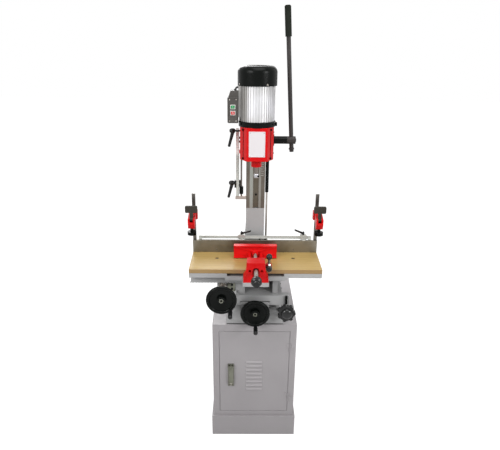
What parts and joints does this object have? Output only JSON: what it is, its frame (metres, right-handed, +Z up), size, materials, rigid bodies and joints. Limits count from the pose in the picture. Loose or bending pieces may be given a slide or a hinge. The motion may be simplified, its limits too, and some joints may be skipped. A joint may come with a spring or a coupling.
{
  "type": "mortiser",
  "caption": "Floor-standing hollow chisel mortiser with a tilting column, cross table, vise, clamps and cabinet stand.",
  "frame": {"origin": "on the floor under the middle of the cabinet", "axes": "+Z up, +X to the operator's right, +Y away from the operator"},
  "size_m": [0.596, 0.6795, 1.8775],
  "materials": {
    "cabinet_paint": "semi-gloss grey-white paint",
    "machine_paint": "semi-gloss light grey paint",
    "red_paint": "gloss red paint",
    "black_paint": "gloss black paint",
    "white_paint": "gloss white enamel",
    "steel": "ground steel",
    "chrome": "polished chrome",
    "cast_alloy": "as-cast aluminium",
    "maple": "oiled maple",
    "black_plastic": "black moulded plastic",
    "box_plastic": "dark grey moulded plastic",
    "green_plastic": "green moulded plastic",
    "red_plastic": "red moulded plastic",
    "black_rubber": "black rubber"
  },
  "bodies": {
    "cabinet": {"cabinet_shell": "cabinet_paint", "cabinet_plinth": "cabinet_paint", "base_casting": "machine_paint", "base_bolts": "steel"},
    "door": {"cabinet_door": "cabinet_paint", "latch_plate": "chrome"},
    "latch": {"latch_handle": "chrome"},
    "saddle": {"saddle": "machine_paint"},
    "lock_knob": {"lock_knob": "black_plastic"},
    "cross_wheel": {"cross_wheel": "black_paint", "cross_screw": "steel"},
    "cross_grip": {"cross_grip": "black_plastic"},
    "table": {"table_casting": "machine_paint", "table_rack": "steel", "table_board": "maple", "fence": "steel", "ruler_bar": "white_paint", "clamp_posts": "steel", "vise_body": "red_paint"},
    "table_wheel": {"table_wheel": "black_paint", "table_pinion": "steel"},
    "table_grip": {"table_grip": "black_plastic"},
    "stop_left": {"stop_block_left": "chrome"},
    "stop_lever_left": {"stop_lever_left": "black_plastic"},
    "stop_right": {"stop_block_right": "chrome"},
    "stop_lever_right": {"stop_lever_right": "black_plastic"},
    "clamp_left": {"clamp_arm_left": "red_paint"},
    "clamp_lever_left": {"clamp_lever_left": "black_plastic"},
    "clamp_pad_left": {"clamp_pad_left": "black_paint"},
    "clamp_right": {"clamp_arm_right": "red_paint"},
    "clamp_lever_right": {"clamp_lever_right": "black_plastic"},
    "clamp_pad_right": {"clamp_pad_right": "black_paint"},
    "vise_jaw": {"vise_jaw": "red_paint"},
    "vise_screw": {"vise_screw": "steel"},
    "cam_lever": {"cam_lever": "chrome"},
    "column": {"column_casting": "machine_paint", "column_ways": "steel", "feed_rack": "steel", "pivot_shaft": "steel", "depth_rod": "steel", "scale_bar": "white_paint", "gas_rod": "chrome"},
    "depth_stop": {"depth_stop": "black_paint"},
    "depth_lever": {"depth_lever": "black_plastic"},
    "head": {"head_casting": "red_paint", "motor_flange": "black_paint", "motor_body": "cast_alloy", "motor_cap": "black_paint", "switch_box": "box_plastic", "switch_leads": "black_rubber", "feed_hub": "black_paint", "gas_cylinder": "black_paint", "chisel_bush": "steel"},
    "start_button": {"start_button": "green_plastic"},
    "stop_button": {"stop_button": "red_plastic"},
    "feed_lever": {"feed_pinion": "steel", "feed_lever": "black_paint", "lever_grip": "black_rubber"},
    "head_lever": {"head_lever": "black_plastic"},
    "spindle": {"spindle": "steel"}
  },
  "joints": [
    {"name": "door_hinge", "type": "hinge", "parent": "cabinet", "child": "door", "pos_m": [0.1575, -0.243, 0.35], "axis": [0, 0, 1], "range_deg": [0, 110]},
    {"name": "latch_turn", "type": "hinge", "parent": "door", "child": "latch", "pos_m": [-0.104, -0.2475, 0.38263], "axis": [-1, 0, 0], "range_deg": [0, 50]},
    {"name": "saddle_slide", "type": "slide", "parent": "cabinet", "child": "saddle", "axis": [0, 1, 0], "range_m": [-0.08, 0.025]},
    {"name": "cross_turn", "type": "hinge", "parent": "saddle", "child": "cross_wheel", "pos_m": [0, -0.272, 0.671], "axis": [0, 1, 0], "range_deg": [-7204, 2254]},
    {"name": "cross_grip_spin", "type": "hinge", "parent": "cross_wheel", "child": "cross_grip", "pos_m": [0.0019, -0.31, 0.61653], "axis": [0, 1, 0], "continuous": true},
    {"name": "lock_turn", "type": "hinge", "parent": "saddle", "child": "lock_knob", "pos_m": [0.132, -0.24, 0.676], "axis": [0, 1, 0], "range_deg": [-360, 0]},
    {"name": "table_slide", "type": "slide", "parent": "saddle", "child": "table", "axis": [-1, 0, 0], "range_m": [-0.13, 0.13]},
    {"name": "table_turn", "type": "hinge", "parent": "saddle", "child": "table_wheel", "pos_m": [-0.138, -0.341, 0.774], "axis": [0, 1, 0], "range_deg": [-466, 466]},
    {"name": "table_grip_spin", "type": "hinge", "parent": "table_wheel", "child": "table_grip", "pos_m": [-0.10153, -0.38, 0.7335], "axis": [0, 1, 0], "continuous": true},
    {"name": "stop_left_slide", "type": "slide", "parent": "table", "child": "stop_left", "axis": [1, 0, 0], "range_m": [-0.158, 0.06]},
    {"name": "stop_left_turn", "type": "hinge", "parent": "stop_left", "child": "stop_lever_left", "pos_m": [-0.06, -0.055, 0.95], "axis": [0, 0, -1], "range_deg": [-60, 60]},
    {"name": "stop_right_slide", "type": "slide", "parent": "table", "child": "stop_right", "axis": [1, 0, 0], "range_m": [-0.15, 0.006]},
    {"name": "stop_right_turn", "type": "hinge", "parent": "stop_right", "child": "stop_lever_right", "pos_m": [0.215, -0.055, 0.95], "axis": [0, 0, 1], "range_deg": [-30, 90]},
    {"name": "clamp_left_slide", "type": "slide", "parent": "table", "child": "clamp_left", "axis": [0, 0, 1], "range_m": [-0.095, 0.045]},
    {"name": "clamp_left_turn", "type": "hinge", "parent": "clamp_left", "child": "clamp_lever_left", "pos_m": [-0.272, -0.122, 1.04], "axis": [1, 0, 0], "range_deg": [0, 95.2]},
    {"name": "pad_left_slide", "type": "slide", "parent": "clamp_left", "child": "clamp_pad_left", "axis": [0, 0, -1], "range_m": [0, 0.008]},
    {"name": "clamp_right_slide", "type": "slide", "parent": "table", "child": "clamp_right", "axis": [0, 0, 1], "range_m": [-0.095, 0.045]},
    {"name": "clamp_right_turn", "type": "hinge", "parent": "clamp_right", "child": "clamp_lever_right", "pos_m": [0.272, -0.122, 1.04], "axis": [1, 0, 0], "range_deg": [0, 95.2]},
    {"name": "pad_right_slide", "type": "slide", "parent": "clamp_right", "child": "clamp_pad_right", "axis": [0, 0, -1], "range_m": [0, 0.008]},
    {"name": "jaw_slide", "type": "slide", "parent": "table", "child": "vise_jaw", "axis": [0, 1, 0], "range_m": [-0.06, 0.042]},
    {"name": "vise_turn", "type": "hinge", "parent": "vise_jaw", "child": "vise_screw", "pos_m": [0, -0.4, 0.889], "axis": [0, 1, 0], "range_deg": [-5404, 3784]},
    {"name": "cam_turn", "type": "hinge", "parent": "table", "child": "cam_lever", "pos_m": [0.053, -0.28, 0.891], "axis": [0, 1, 0], "range_deg": [0, 75]},
    {"name": "column_tilt", "type": "hinge", "parent": "cabinet", "child": "column", "pos_m": [0, 0.1, 0.95], "axis": [0, 1, 0], "range_deg": [-45, 45]},
    {"name": "depth_stop_slide", "type": "slide", "parent": "column", "child": "depth_stop", "axis": [0, 0, 1], "range_m": [-0.005, 0.1]},
    {"name": "depth_lever_turn", "type": "hinge", "parent": "depth_stop", "child": "depth_lever", "pos_m": [-0.092, -0.01, 1.17], "axis": [1, 0, 0], "range_deg": [-60, 60]},
    {"name": "head_slide", "type": "slide", "parent": "column", "child": "head", "axis": [0, 0, 1], "range_m": [-0.11, 0], "stiffness_N_per_m": 165, "springref_m": 2},
    {"name": "start_press", "type": "slide", "parent": "head", "child": "start_button", "axis": [0, 1, 0], "range_m": [0, 0.0025], "stiffness_N_per_m": 400, "springref_m": -0.002},
    {"name": "stop_press", "type": "slide", "parent": "head", "child": "stop_button", "axis": [0, 1, 0], "range_m": [0, 0.0025], "stiffness_N_per_m": 400, "springref_m": -0.002},
    {"name": "feed_turn", "type": "hinge", "parent": "head", "child": "feed_lever", "pos_m": [0.144, -0.06, 1.368], "axis": [1, 0, 0], "range_deg": [0, 126.06]},
    {"name": "head_lever_turn", "type": "hinge", "parent": "head", "child": "head_lever", "pos_m": [-0.088, -0.032, 1.4], "axis": [1, 0, 0], "range_deg": [-60, 60]},
    {"name": "spindle_spin", "type": "hinge", "parent": "head", "child": "spindle", "pos_m": [0, -0.105, 1.4], "axis": [0, 0, 1], "continuous": true}
  ],
  "couplings": [
    {"joint": "cross_turn", "follows": "saddle_slide", "rad_per_m": 1570.8},
    {"joint": "table_turn", "follows": "table_slide", "rad_per_m": -62.5},
    {"joint": "vise_turn", "follows": "jaw_slide", "rad_per_m": 1570.8},
    {"joint": "feed_turn", "follows": "head_slide", "rad_per_m": -20},
    {"joint": "clamp_left_turn", "follows": "pad_left_slide", "rad_per_m": 207.26},
    {"joint": "clamp_right_turn", "follows": "pad_right_slide", "rad_per_m": 207.26}
  ]
}
